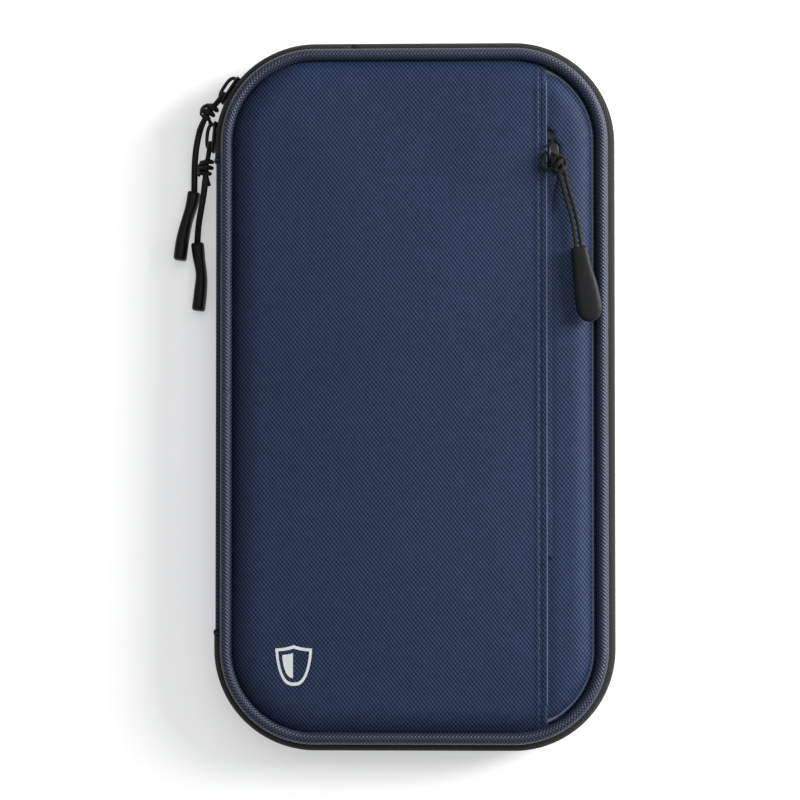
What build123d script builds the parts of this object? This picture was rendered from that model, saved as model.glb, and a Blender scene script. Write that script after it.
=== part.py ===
from build123d import *
import os
from math import cos, radians, sin, tan

# Passport holder wallet lying on its back, in millimetres.
# Origin: centre of the flat back face. +X right, +Y up the cover, +Z out of the front.

# Shell
half_width = 63.5  # centre of the piping, from the middle
half_height = 115.5
corner = 30.0  # corner radius along the piping
thickness = 26.0
middle = thickness / 2
piping_radius = 2.0
filler_radius = 1.4
piping_height = 5.0  # centre of the back piping above the back face
skin = 0.9
edge_round = 4.4  # the panel rolls over to the piping with this radius
panel_inset = 2.0
rim_height = 6.2
lining_inset = panel_inset + skin
board_inset = lining_inset + edge_round - 0.7
seam_inset = 6.0  # depth of the sewn edges, in from the piping
flange_top = 7.8
binding_thick = 0.6

# Main zip, all offsets outwards from the piping centre; the coil is on the tape's inner side
tape_height = 7.4
tape_thick = 0.8
tape_out = 4.0
tape_bend = 2.4
tape_edge = 12.4
coil_low = 9.9
coil_high = 12.35
coil_in = 2.0
coil_out = tape_out - tape_thick / 2
zip_end = 81.2  # the zip starts and stops this far from the middle of the left side
split_angle = 44.0  # the cover's own zip starts here, round each left corner
corner_x = -(half_width - corner)
corner_y = half_height - corner

# Spine
spine_half = 79.0
spine_gap = 0.3
spine_out = 3.8
spine_fabric = 0.8
spine_board = 1.2

# Main sliders
slider_length = 11.0
slider_half = 4.3
slider_a_angle = 32.8
slider_b_angle = 5.0
plate_in = 0.2
plate_in_thick = 0.8
plate_in_half = 3.9
plate_out = 4.65
plate_thick = 0.8
rail_out = 2.9  # the side rails stand this far out from the inner plate
rail_thick = 0.7
crown_out = 8.2
crown_length = 10.0
crown_lean = 1.1
crown_bar = 1.1
crown_thick = 1.3
leg_out = 6.27  # the pull swings about this point of the crown's lower leg
leg_along = 3.95

# Front pocket zip
seam_x = 44.9
slit = 1.6
pocket_zip_x = seam_x + slit / 2
pocket_top = 86.0
pocket_bottom = -55.0
pocket_floor = 22.4
pocket_slider_y = 81.0

# Cord and grips of the pulls
cord_radius = 0.65
strand_gap = 0.72  # each strand's centre from the middle of the pair
bight_half = 1.95  # half the width of the bight round the crown's leg
bight_neck = 4.4  # from the leg to where the bight closes again at the knot
bight_turn = 2.4  # from the leg to where the bight starts to close
knot_long = 5.6
knot_wide = 4.6
hitch_long = 5.6
hitch_wide = 4.6
pocket_grip_low = 26.15
pocket_grip_thick = 3.6
bag_gap = 4.4  # the pocket bag stops this far short of its zip
bag_top = 25.1
bag_wall = 0.3
grip_thick = 3.6
grip_wide = 8.8
grip_narrow = 6.2

# Coin pocket inside the cover
coin_zip_y = -16.0
coin_slider_x = 42.0

os.makedirs("parts", exist_ok=True)
up = Vector(0, 0, 1)


def save(piece, name):
    piece.part.label = name
    export_step(piece.part, f"parts/{name}.step")


def ring_wire():
    """The piping line, a rounded rectangle."""
    with BuildSketch() as outline:
        RectangleRounded(2 * half_width, 2 * half_height, corner)
    return outline.sketch.faces()[0].outer_wire()


def ring_plane(path):
    """Plane across the piping line: local X points out, local Y is +Z."""
    tangent = path % 0
    if up.cross(tangent).dot(path @ 0) < 0:
        tangent = tangent * -1
    return Plane(origin=path @ 0, x_dir=up.cross(tangent), z_dir=tangent)


def height(z, front):
    """The front half is the back half's mirror image in the middle plane."""
    return thickness - z if front else z


def outline_layer(inset, z_low, z_high, mode=Mode.ADD):
    """Flat layer with the cover's outline, moved in from the piping line."""
    with BuildSketch(Plane.XY.offset(z_low)) as layer:
        RectangleRounded(2 * (half_width - inset), 2 * (half_height - inset), corner - inset)
    extrude(layer.sketch, amount=z_high - z_low, mode=mode)


def block(x_range, y_range, z_range, plane=Plane.XY, round_by=0, mode=Mode.ADD):
    """Box between limits, in a plane's own axes, with rounded upright edges if wanted."""
    wide = x_range[1] - x_range[0]
    tall = y_range[1] - y_range[0]
    with BuildSketch(plane.offset(z_range[0])) as base:
        with Locations(((x_range[0] + x_range[1]) / 2, (y_range[0] + y_range[1]) / 2)):
            if round_by:
                RectangleRounded(wide, tall, round_by)
            else:
                Rectangle(wide, tall)
    extrude(base.sketch, amount=z_range[1] - z_range[0], mode=mode)


def left_wedge(mode):
    """Everything left of the cover's zip: outside the split angle at both left corners."""
    far = 80
    reach_x = corner_x - far * cos(radians(split_angle))
    reach_y = corner_y + far * sin(radians(split_angle))
    outline = [(corner_x, corner_y), (reach_x, reach_y), (reach_x, -reach_y), (corner_x, -corner_y)]
    with BuildSketch() as wedge:
        with BuildLine():
            Polyline(*outline, close=True)
        make_face()
    extrude(wedge.sketch, amount=thickness, mode=mode)


def tray_solid(front):
    """Panel of one half, closed face outwards."""
    with BuildPart() as outer:
        outline_layer(panel_inset, 0, rim_height)
        fillet(outer.edges().group_by(Axis.Z)[0], edge_round)
    with BuildPart() as inner:
        outline_layer(lining_inset, skin, rim_height + 1)
        fillet(inner.edges().group_by(Axis.Z)[0], edge_round - skin)
    shell = outer.part - inner.part
    if front:
        shell = Pos(0, 0, thickness) * shell.mirror(Plane.XY)
    return shell


def ring_sweep(front, draw):
    """Sweep a profile, drawn in offsets from the piping line, all the way round."""
    path = ring_wire()
    with BuildSketch(ring_plane(path)) as profile:
        draw(front)
    sweep(profile.sketch, path=path)


def piping_profile(front):
    centre = height(piping_height, front)
    flange = height(rim_height + 0.4, front)
    with Locations((0, centre)):
        Circle(piping_radius)
    with Locations((-(seam_inset + 1.2) / 2, flange)):
        Rectangle(seam_inset - 1.2, 0.8)
    with Locations((0, centre)):
        Circle(filler_radius, mode=Mode.SUBTRACT)


def filler_profile(front):
    with Locations((0, height(piping_height, front))):
        Circle(filler_radius)


def tape_profile(front):
    bend_start = tape_out - tape_bend
    low = height(tape_height, front)
    turned = height(tape_height + tape_bend, front)
    with BuildLine() as centre:
        flat = Line((-seam_inset, low), (bend_start, low))
        turn = TangentArc(flat @ 1, (tape_out, turned), tangent=flat % 1)
        Line(turn @ 1, (tape_out, height(tape_edge, front)))
    trace(centre.line, tape_thick)


def coil_ring(front):
    low, high = sorted((height(coil_low, front), height(coil_high, front)))
    outline_layer(-coil_out, low, high)
    outline_layer(-coil_in, low, high, mode=Mode.SUBTRACT)


def clear_spine_side(limit):
    """Take the zip away along the spine."""
    block((-90, -40), (-limit, limit), (-5, thickness + 5), mode=Mode.SUBTRACT)


def binding_ring(front):
    """L-shaped binding over the raw edges inside the shell."""
    lining_top = 20.1 if front else 3.6
    wall = sorted((lining_top, height(flange_top, front)))
    cap = sorted((height(flange_top, front), height(flange_top + binding_thick, front)))
    outline_layer(seam_inset, *wall)
    outline_layer(seam_inset + binding_thick, *wall, mode=Mode.SUBTRACT)
    outline_layer(2.4, *cap)
    outline_layer(seam_inset + binding_thick, *cap, mode=Mode.SUBTRACT)


# Both halves of the shell
for front in (False, True):
    side = "front" if front else "back"

    with BuildPart() as piping:
        ring_sweep(front, piping_profile)
    save(piping, f"{side}_piping")

    with BuildPart() as filler:
        ring_sweep(front, filler_profile)
    save(filler, f"{side}_piping_filler")

    with BuildPart() as zip_tape:
        ring_sweep(front, tape_profile)
        if front:
            left_wedge(Mode.SUBTRACT)
        else:
            clear_spine_side(zip_end)
    save(zip_tape, f"{side}_zip_tape")

    with BuildPart() as zip_coil:
        coil_ring(front)
        if front:
            left_wedge(Mode.SUBTRACT)
        else:
            clear_spine_side(zip_end)
    save(zip_coil, f"{side}_zip_coil")

    with BuildPart() as binding:
        binding_ring(front)
    save(binding, f"{side}_binding")

# Back half: panel, board, blocking foil and lining, from outside to inside
with BuildPart() as back_panel:
    add(tray_solid(False))
save(back_panel, "back_panel")

for name, inset, z_low, z_high in (
    ("back_board", board_inset, 0.9, 2.5),
    ("back_shield_foil", board_inset, 2.5, 2.8),
    ("back_lining", lining_inset + 0.5, 2.8, 3.6),
):
    with BuildPart() as layer:
        outline_layer(inset, z_low, z_high)
    save(layer, name)

# The zip's closed ends: the short stretch of the cover's tape and coil that the sliders hold shut
with BuildPart() as end_tapes:
    outline_layer(-(tape_out + tape_thick / 2), thickness - tape_edge, 16.0)
    outline_layer(-(tape_out - tape_thick / 2), thickness - tape_edge, 16.0, mode=Mode.SUBTRACT)
    left_wedge(Mode.INTERSECT)
    clear_spine_side(zip_end)
save(end_tapes, "zip_end_tapes")

with BuildPart() as end_coils:
    coil_ring(True)
    left_wedge(Mode.INTERSECT)
    clear_spine_side(zip_end)
save(end_coils, "zip_end_coils")

with BuildPart() as end_tabs:
    for sign in (-1, 1):
        reach = sorted((sign * spine_half, sign * zip_end))
        block((-half_width - 4.6, -half_width - 1.4), reach, (7.8, 18.2), round_by=0.5)
save(end_tabs, "zip_end_tabs")

# Spine: outer strip, stiffener and lining strip between the two lines of piping
spine_low = piping_height + piping_radius + 0.2
spine_high = thickness - piping_height - piping_radius - spine_gap
outer = -half_width - spine_out
for name, layer_thick in (
    ("spine_panel", spine_fabric),
    ("spine_board", spine_board),
    ("spine_lining", spine_fabric),
):
    with BuildPart() as strip:
        block((outer, outer + layer_thick), (-spine_half, spine_half), (spine_low, spine_high))
    save(strip, name)
    outer += layer_thick

# Passport pockets: three stepped leaves
leaf = 0.8
for number, top in enumerate((75, 45, 15), start=1):
    with BuildPart() as pocket:
        low = 3.6 + leaf * (number - 1)
        block((-41, 56), (-92, top), (low, low + leaf), round_by=3)
    save(pocket, f"passport_pocket_{number}")

# Pen loop: an elastic loop standing on the back lining beside the spine
with BuildPart() as pen_loop:
    with BuildSketch(Plane.XZ.offset(-54)) as loop:
        with Locations((-50, 8.8)):
            RectangleRounded(13, 10.4, 4.9)
            RectangleRounded(11.4, 8.8, 4.1, mode=Mode.SUBTRACT)
    extrude(loop.sketch, amount=22)
save(pen_loop, "pen_loop")

# Front panel, in two pieces that meet at the upright seam; the pocket's slit runs along it
shell_front = tray_solid(True)
wedge_top = pocket_top + 3.5
with BuildPart() as front_panel:
    add(shell_front)
    block((seam_x, 80), (-130, 130), (0, 30), mode=Mode.SUBTRACT)
save(front_panel, "front_panel")

with BuildPart() as side_panel:
    add(shell_front)
    block((-80, seam_x), (-130, 130), (0, 30), mode=Mode.SUBTRACT)
    block((seam_x - 1, seam_x + slit), (pocket_bottom, pocket_top - 3), (0, 30), mode=Mode.SUBTRACT)
    with BuildSketch(Plane.XY) as mouth:
        with BuildLine():
            Polyline(
                (seam_x, pocket_bottom + 20),
                (seam_x + slit, pocket_bottom + 20),
                (seam_x + slit, pocket_slider_y - 6),
                (seam_x + 4.2, pocket_slider_y + 2),
                (seam_x, wedge_top),
                close=True,
            )
        make_face()
    extrude(mouth.sketch, amount=thickness + 2, mode=Mode.SUBTRACT)
    block((pocket_zip_x + 4, pocket_zip_x + 4.8), (pocket_bottom, pocket_top), (pocket_floor, 25.2))
save(side_panel, "front_side_panel")

for name, inset, z_low, z_high in (
    ("front_board", board_inset, 21.2, pocket_floor),
    ("front_shield_foil", board_inset, 20.9, 21.2),
    ("front_lining", lining_inset + 0.1, 20.1, 20.9),
):
    with BuildPart() as layer:
        outline_layer(inset, z_low, z_high)
    save(layer, name)

# Front pocket: a flat bag that opens along the zip
bag_right = pocket_zip_x - bag_gap
with BuildPart() as pocket_bag:
    block((-54, bag_right), (-88, pocket_top), (pocket_floor, bag_top), round_by=4)
    block(
        (-53.6, bag_right + 4),
        (-87.6, pocket_top - 0.4),
        (pocket_floor + bag_wall, bag_top - bag_wall),
        mode=Mode.SUBTRACT,
    )
save(pocket_bag, "front_pocket_bag")

with BuildPart() as pocket_tapes:
    for sign in (-1, 1):
        tape = sorted((pocket_zip_x + sign * 1.6, pocket_zip_x + sign * 4.0))
        block(tape, (pocket_bottom, pocket_top), (23.35, 23.8))
save(pocket_tapes, "pocket_zip_tapes")

with BuildPart() as pocket_coils:
    for sign in (-1, 1):
        coil = sorted((pocket_zip_x + sign * 0.6, pocket_zip_x + sign * 1.6))
        block(coil, (pocket_bottom, pocket_top), (23.3, 24.05))
save(pocket_coils, "pocket_zip_coils")

with BuildPart() as pocket_stops:
    for end in ((pocket_bottom - 1.6, pocket_bottom), (pocket_top, pocket_top + 1.6)):
        block((pocket_zip_x - 2, pocket_zip_x + 2), end, (23.1, 24.3))
save(pocket_stops, "pocket_zip_stops")

# Inside the cover: five stepped card slots
for number in range(1, 6):
    card_high = 20.1 - 0.6 * (number - 1)
    with BuildPart() as card_slot:
        block((-46, 46), (10, 106 - 12 * number), (card_high - 0.6, card_high), round_by=2)
    save(card_slot, f"card_slot_{number}")

# Coin pocket: a mesh front with side walls, and a zip across its top
with BuildPart() as coin_panel:
    block((-50, 50), (-102, coin_zip_y - 4.6), (18.4, 20.1))
    block((-48.6, 48.6), (-100.6, coin_zip_y), (19.0, 20.2), mode=Mode.SUBTRACT)
save(coin_panel, "coin_pocket_mesh")

with BuildPart() as coin_tapes:
    block((-50, 50), (coin_zip_y - 4.6, coin_zip_y - 1.6), (18.5, 18.9))
    block((-50, 50), (coin_zip_y + 1.6, coin_zip_y + 6.4), (18.5, 18.9))
    block((-50, 50), (coin_zip_y + 5.4, coin_zip_y + 6.4), (18.9, 20.1))
    for sign in (-1, 1):
        end = sorted((sign * 48.6, sign * 50))
        block(end, (coin_zip_y - 4.6, coin_zip_y + 6.4), (18.5, 20.1))
save(coin_tapes, "coin_zip_tapes")

with BuildPart() as coin_coils:
    for sign in (-1, 1):
        coil = sorted((coin_zip_y + sign * 0.6, coin_zip_y + sign * 1.6))
        block((-48.6, 48.6), coil, (18.3, 19.0))
save(coin_coils, "coin_zip_coils")


def flat_slider(plane, z_low, post_half, wide, length, gap, plate):
    """Slider of a flat zip: two plates, the post between them and the side flanges."""
    half = wide / 2
    side_x = (-half, half)
    end_y = (-length / 2, length / 2)
    top = z_low + plate + gap
    block(side_x, end_y, (z_low, z_low + plate), plane, round_by=1.2)
    block(side_x, end_y, (top, top + plate), plane, round_by=1.2)
    block((-post_half, post_half), (length / 2 - 2.2, length / 2 - 0.2), (z_low, top), plane)
    for sign in (-1, 1):
        flange = sorted((sign * half, sign * (half - 0.6)))
        block(flange, (-length / 2 + 1.2, length / 2 - 1.2), (top - 0.25, top), plane)


def arch(plane, base, tip, length, thick, bar, lean=1.6):
    """Crown of a slider in a plane's XY, standing on x = base; its middle is y = 0."""
    foot = length / 2
    shoulder = foot - lean
    inner_foot = foot - bar - 0.3
    inner_shoulder = shoulder - bar
    top = tip - bar
    with BuildSketch(plane.offset(-thick / 2)) as side:
        with BuildLine():
            Polyline((base, -foot), (tip, -shoulder), (tip, shoulder), (base, foot), close=True)
        make_face()
        with BuildLine():
            Polyline(
                (base, -inner_foot),
                (top, -inner_shoulder),
                (top, inner_shoulder),
                (base, inner_foot),
                close=True,
            )
        make_face(mode=Mode.SUBTRACT)
    extrude(side.sketch, amount=thick)


# Pocket slider: body under the slit, crown standing up through it
with BuildPart() as pocket_slider:
    seat = Plane(origin=(pocket_zip_x, pocket_slider_y, 0), x_dir=(1, 0, 0), z_dir=(0, 0, 1))
    flat_slider(seat, 22.55, 0.4, 6.4, 8.2, 1.15, 0.6)
    crown = Plane(origin=(pocket_zip_x, pocket_slider_y, 0), x_dir=(0, 0, 1), z_dir=(1, 0, 0))
    arch(crown, 24.8, 29.4, 7.0, 1.0, 0.9)
save(pocket_slider, "pocket_slider_body")

# Coin slider, upside down: its crown and tab point into the main compartment
with BuildPart() as coin_slider:
    seat = Plane(origin=(coin_slider_x, coin_zip_y, 0), x_dir=(0, 1, 0), z_dir=(0, 0, -1))
    flat_slider(seat, -19.7, 0.4, 6.4, 8.2, 1.15, 0.6)
    crown = Plane(origin=(coin_slider_x, coin_zip_y, 0), x_dir=(0, 0, -1), z_dir=(0, 1, 0))
    arch(crown, -17.4, -15.2, 6.0, 1.0, 0.7)
save(coin_slider, "coin_slider_body")

with BuildPart() as coin_tab:
    tab_y = (coin_zip_y - 2.2, coin_zip_y + 2.2)
    slot_y = (coin_zip_y - 1.0, coin_zip_y + 1.0)
    block((coin_slider_x - 15, coin_slider_x + 0.3), tab_y, (16.1, 16.9), round_by=1.0)
    block((coin_slider_x - 3.4, coin_slider_x - 0.9), slot_y, (15, 18), mode=Mode.SUBTRACT)
save(coin_tab, "coin_pull_tab")


def main_slider(angle):
    """Slider of the main zip, square to the zip's track at an angle round the top left corner."""
    out = Vector(-cos(radians(angle)), sin(radians(angle)), 0)
    seat = Plane(origin=Vector(corner_x, corner_y, 0) + out * corner, x_dir=out, z_dir=(0, 0, 1))
    long = (-slider_length / 2, slider_length / 2)
    wide = (middle - slider_half, middle + slider_half)
    inside = (middle - plate_in_half, middle + plate_in_half)
    block((plate_in, plate_in + plate_in_thick), long, inside, seat)
    block((plate_out, plate_out + plate_thick), long, wide, seat)
    nose = (-slider_length / 2 + 0.2, -slider_length / 2 + 2.4)
    block((plate_in, plate_out + 0.5), nose, (middle - 0.5, middle + 0.5), seat)
    rail_in = plate_in + plate_in_thick
    for rail in ((inside[0], inside[0] + rail_thick), (inside[1] - rail_thick, inside[1])):
        block((rail_in, rail_out), (long[0] + 1.5, long[1] - 1.5), rail, seat)
    arch(
        seat.offset(middle), plate_out + plate_thick - 0.1, crown_out, crown_length, crown_thick,
        crown_bar, crown_lean,
    )


with BuildPart() as slider_a:
    main_slider(slider_a_angle)
save(slider_a, "main_slider_a_body")

with BuildPart() as slider_b:
    main_slider(slider_b_angle)
save(slider_b, "main_slider_b_body")


def bend_radii(route):
    """Largest arc at each corner: 0.45 of the shorter run over the tangent of half the turn."""
    radii = []
    for before, point, after in zip(route, route[1:], route[2:]):
        arriving = Vector(*point) - Vector(*before)
        leaving = Vector(*after) - Vector(*point)
        run = min(arriving.length, leaving.length)
        turn = arriving.get_angle(leaving)
        radii.append(0.45 * run / tan(radians(turn / 2)))
    return radii


def cord_tube(name, routes):
    """Tubes of one cord, each along straight runs joined by tangent arcs."""
    for route in routes:
        radii = bend_radii(route)
        with BuildLine() as path:
            FilletPolyline(*route, radius=radii)
        start = path.line @ 0
        with BuildSketch(Plane(origin=start, z_dir=path.line % 0)) as section:
            Circle(cord_radius)
        sweep(section.sketch, path=path.line)
        length = sum(edge.length for edge in path.line.edges())
        print(name, "radii", [round(r, 1) for r in radii], "length", round(length, 1))


def knot_body(centre, along, length, wide):
    """Closed outer shape of a knot: an egg about the cord's own direction."""
    axis = Vector(along).normalized()
    side = axis.cross(up).normalized()
    frame = Plane(origin=centre, x_dir=axis, z_dir=side)
    with BuildSketch(frame) as half_egg:
        Ellipse(length / 2, wide / 2)
        with Locations((0, -wide)):
            Rectangle(2 * length, 2 * wide, mode=Mode.SUBTRACT)
    revolve(half_egg.sketch, axis=Axis(centre, axis))


def standing_grip(points):
    """Moulded grip on edge: an S-curved strip, tapering up to the cord end."""
    with BuildSketch() as strip:
        with BuildLine() as spine_line:
            Spline(*points)
        trace(spine_line.line, grip_thick)
    extrude(strip.sketch, amount=grip_wide)
    top_y = points[0][1]
    end_y = points[-1][1]
    with BuildSketch(Plane.YZ.offset(-100)) as side_view:
        with BuildLine():
            Polyline(
                (top_y + 3, 0),
                (end_y - 3, 0),
                (end_y - 3, grip_wide),
                (end_y + 4, grip_wide),
                (top_y + 3, grip_narrow),
                close=True,
            )
        make_face()
    extrude(side_view.sketch, amount=60, mode=Mode.INTERSECT)


def crown_leg(angle):
    """Middle of the crown's lower leg on a main slider, where its pull hangs, and the way along it."""
    out = Vector(-cos(radians(angle)), sin(radians(angle)), 0)
    down = up.cross(out)
    return Vector(corner_x, corner_y, middle) + out * (corner + leg_out) + down * leg_along, down


# Left pulls: bight round the crown's leg, knot, then two strands down to the grip.
# Each pair is the middle line of the two strands, from the knot to the grip.
pull_a_knot = (-70.3, 97.5, 12.6)
pull_a_pair = [
    (-72.4, 94.2, 12.3),
    (-74.1, 89.4, 11.4),
    (-75.5, 83.0, 8.4),
    (-76.1, 76.2, 4.8),
    (-76.3, 70.8, 3.2),
]
pull_a_grip = [(-76.3, 70.8), (-77.2, 66.0), (-78.8, 60.4), (-80.2, 54.0), (-81.1, 47.2)]
pull_b_knot = (-71.3, 78.4, 12.6)
pull_b_pair = [
    (-71.6, 74.4, 12.2),
    (-72.2, 69.4, 11.1),
    (-73.6, 63.5, 8.0),
    (-74.9, 57.8, 4.5),
    (-75.2, 53.2, 3.2),
]
pull_b_grip = [(-75.2, 53.2), (-74.6, 48.0), (-73.7, 42.0), (-74.0, 36.0), (-74.7, 29.8)]


def pull_routes(pair, knot, leg, down):
    """Two strands, one to the upper right of the other, and the bight round the crown's leg."""
    strands = []
    for sign in (-1, 1):
        side = sign * strand_gap * cos(radians(45))
        strands.append([(x + side, y, z + side) for x, y, z in pair])
    back = (Vector(knot[0], knot[1], middle) - leg).normalized()
    turn = []
    for place, lift in (
        (leg + back * bight_neck, strand_gap),
        (leg + back * bight_turn, bight_half),
        (leg - down * bight_half, bight_half),
        (leg - down * bight_half, -bight_half),
        (leg + back * bight_turn, -bight_half),
        (leg + back * bight_neck, -strand_gap),
    ):
        turn.append((place.X, place.Y, middle + lift))
    return strands + [turn]


for letter, pair, knot, angle, grip in (
    ("a", pull_a_pair, pull_a_knot, slider_a_angle, pull_a_grip),
    ("b", pull_b_pair, pull_b_knot, slider_b_angle, pull_b_grip),
):
    leg, down = crown_leg(angle)
    along = leg - Vector(knot[0], knot[1], middle)
    with BuildPart() as cord:
        cord_tube(f"main_pull_{letter}_cord", pull_routes(pair, knot, leg, down))
    save(cord, f"main_pull_{letter}_cord")
    with BuildPart() as knot_solid:
        knot_body(knot, along, knot_long, knot_wide)
    save(knot_solid, f"main_pull_{letter}_knot")
    with BuildPart() as grip_solid:
        standing_grip(grip)
    save(grip_solid, f"main_pull_{letter}_grip")

# Pocket pull: a loop round the crown's lower leg, a hitch, two strands side by side and a grip
pocket_loop = [(47.6, 81.2, 27.1), (43.6, 81.4, 27.1), (43.3, 75.8, 27.1), (46.8, 75.2, 27.3)]
pocket_pair = [
    (50.2, 74.0, 27.8),
    (51.0, 70.0, 27.2),
    (53.2, 62.5, 27.3),
    (54.8, 55.6, 27.8),
    (55.5, 49.2, 28.0),
]
pocket_hitch = (49.1, 76.7, 28.5)
with BuildPart() as pocket_cord:
    strands = []
    for sign in (-1, 1):
        strands.append([(x + sign * strand_gap, y + sign * 0.2, z) for x, y, z in pocket_pair])
    cord_tube("pocket_pull_cord", strands + [pocket_loop])
save(pocket_cord, "pocket_pull_cord")

with BuildPart() as hitch:
    knot_body(pocket_hitch, (0.45, -1, 0), hitch_long, hitch_wide)
save(hitch, "pocket_pull_hitch")

with BuildPart() as pocket_grip:
    with BuildSketch(Plane.XY.offset(pocket_grip_low)) as plan:
        with BuildLine():
            Polyline((52.4, 49.3), (58.6, 49.0), (63.4, 28.0), (59.6, 24.4), (55.6, 25.6), close=True)
        make_face()
        fillet(plan.vertices(), 1.3)
    extrude(plan.sketch, amount=pocket_grip_thick)
save(pocket_grip, "pocket_pull_grip")
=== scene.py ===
from math import cos, hypot, pi, radians, sin, sqrt

import bpy
import numpy as np
from mathutils import Matrix, Vector


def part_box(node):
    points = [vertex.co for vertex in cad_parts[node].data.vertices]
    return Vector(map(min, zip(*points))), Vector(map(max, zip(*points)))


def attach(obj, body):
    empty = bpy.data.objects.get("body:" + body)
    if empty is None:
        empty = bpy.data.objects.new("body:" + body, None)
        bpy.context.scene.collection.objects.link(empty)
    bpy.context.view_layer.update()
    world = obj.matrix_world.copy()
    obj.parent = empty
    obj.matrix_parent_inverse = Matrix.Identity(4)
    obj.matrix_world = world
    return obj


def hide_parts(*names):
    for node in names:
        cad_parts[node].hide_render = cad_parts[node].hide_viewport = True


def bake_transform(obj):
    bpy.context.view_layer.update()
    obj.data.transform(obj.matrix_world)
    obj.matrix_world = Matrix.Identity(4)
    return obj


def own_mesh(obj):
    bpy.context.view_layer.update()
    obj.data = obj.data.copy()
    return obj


# Looks of the passport holder wallet. Lengths below are in millimetres and become metres in each mesh.
MM = 0.001
EAST, NORTH, UP = Vector((1, 0, 0)), Vector((0, 1, 0)), Vector((0, 0, 1))

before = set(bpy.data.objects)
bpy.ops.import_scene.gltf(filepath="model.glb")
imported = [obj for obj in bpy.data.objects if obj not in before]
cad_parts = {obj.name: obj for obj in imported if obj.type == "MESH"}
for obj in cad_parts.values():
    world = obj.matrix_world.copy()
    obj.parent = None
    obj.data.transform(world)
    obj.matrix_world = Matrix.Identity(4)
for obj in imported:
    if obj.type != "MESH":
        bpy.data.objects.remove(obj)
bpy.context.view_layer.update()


def mm_box(node):
    low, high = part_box(node)
    return low / MM, high / MM


# ---------------------------------------------------------------- sizes, from the frame
filler_low, filler_high = mm_box("front_piping_filler")
FILLER_R = (filler_high.z - filler_low.z) / 2
HALF_W = filler_high.x - FILLER_R
HALF_H = filler_high.y - FILLER_R
CORNER = 30.0
THICK = mm_box("front_panel")[1].z
FRONT_PIPE_Z = (filler_high.z + filler_low.z) / 2
PIPE_R = mm_box("front_piping")[1].z - FRONT_PIPE_Z
ZIP_END = 81.2
SEAM_X = mm_box("front_panel")[1].x
SLIT = 1.6
PANEL_INSET = 2.0
PANEL_EDGE_Z = 20.0  # where the front panel's edge tucks under its piping
CORNER_X = HALF_W - CORNER
CORNER_Y = HALF_H - CORNER


def smooth(t):
    t = np.clip(t, 0, 1)
    return t * t * (3 - 2 * t)


# ---------------------------------------------------------------- material nodes
class Nodes:
    """Short way to write a shader's nodes."""

    def __init__(self, name):
        self.material = bpy.data.materials.new(name)
        self.material.use_nodes = True
        self.tree = self.material.node_tree
        self.shader = self.tree.nodes["Principled BSDF"]

    def node(self, kind, **values):
        made = self.tree.nodes.new(kind)
        for key, value in values.items():
            setattr(made, key, value)
        return made

    def link(self, source, target):
        self.tree.links.new(source, target)

    def put(self, socket, value):
        if isinstance(value, bpy.types.NodeSocket):
            self.link(value, socket)
        else:
            socket.default_value = value

    def math(self, kind, a, b=0.0, clamp=False):
        made = self.node("ShaderNodeMath", operation=kind, use_clamp=clamp)
        self.put(made.inputs[0], a)
        self.put(made.inputs[1], b)
        return made.outputs[0]

    def axes(self, source):
        coordinates = self.node("ShaderNodeTexCoord")
        split = self.node("ShaderNodeSeparateXYZ")
        self.link(coordinates.outputs[source], split.inputs[0])
        return split.outputs

    def noise(self, scale, detail=2.0, source="Object"):
        coordinates = self.node("ShaderNodeTexCoord")
        made = self.node("ShaderNodeTexNoise")
        self.link(coordinates.outputs[source], made.inputs["Vector"])
        made.inputs["Scale"].default_value = scale
        made.inputs["Detail"].default_value = detail
        return made.outputs["Fac"]

    def mix(self, factor, dark, light):
        made = self.node("ShaderNodeMix", data_type="RGBA")
        self.put(made.inputs[0], factor)
        self.put(made.inputs[6], (*dark, 1))
        self.put(made.inputs[7], (*light, 1))
        return made.outputs[2]

    def ramp(self, factor, low, high):
        made = self.node("ShaderNodeMapRange")
        self.put(made.inputs[0], factor)
        made.inputs[3].default_value = low
        made.inputs[4].default_value = high
        return made.outputs[0]

    def wave(self, along, pitch, phase=0.0):
        """0 to 1, once per pitch in metres."""
        turned = self.math("MULTIPLY_ADD", along, 2 * pi / pitch)
        turned.node.inputs[2].default_value = phase
        height = self.math("COSINE", turned)
        made = self.math("MULTIPLY_ADD", height, 0.5)
        made.node.inputs[2].default_value = 0.5
        return made

    def bump(self, height, distance, strength=1.0):
        made = self.node("ShaderNodeBump")
        self.link(height, made.inputs["Height"])
        made.inputs["Distance"].default_value = distance
        made.inputs["Strength"].default_value = strength
        self.link(made.outputs[0], self.shader.inputs["Normal"])

    def base(self, roughness, specular=0.5, sheen=0.0, sheen_roughness=0.5, metallic=0.0):
        inputs = self.shader.inputs
        self.put(inputs["Roughness"], roughness)
        inputs["Specular IOR Level"].default_value = specular
        inputs["Sheen Weight"].default_value = sheen
        inputs["Sheen Roughness"].default_value = sheen_roughness
        inputs["Metallic"].default_value = metallic

    def colour(self, value):
        self.link(value, self.shader.inputs["Base Color"])


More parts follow.
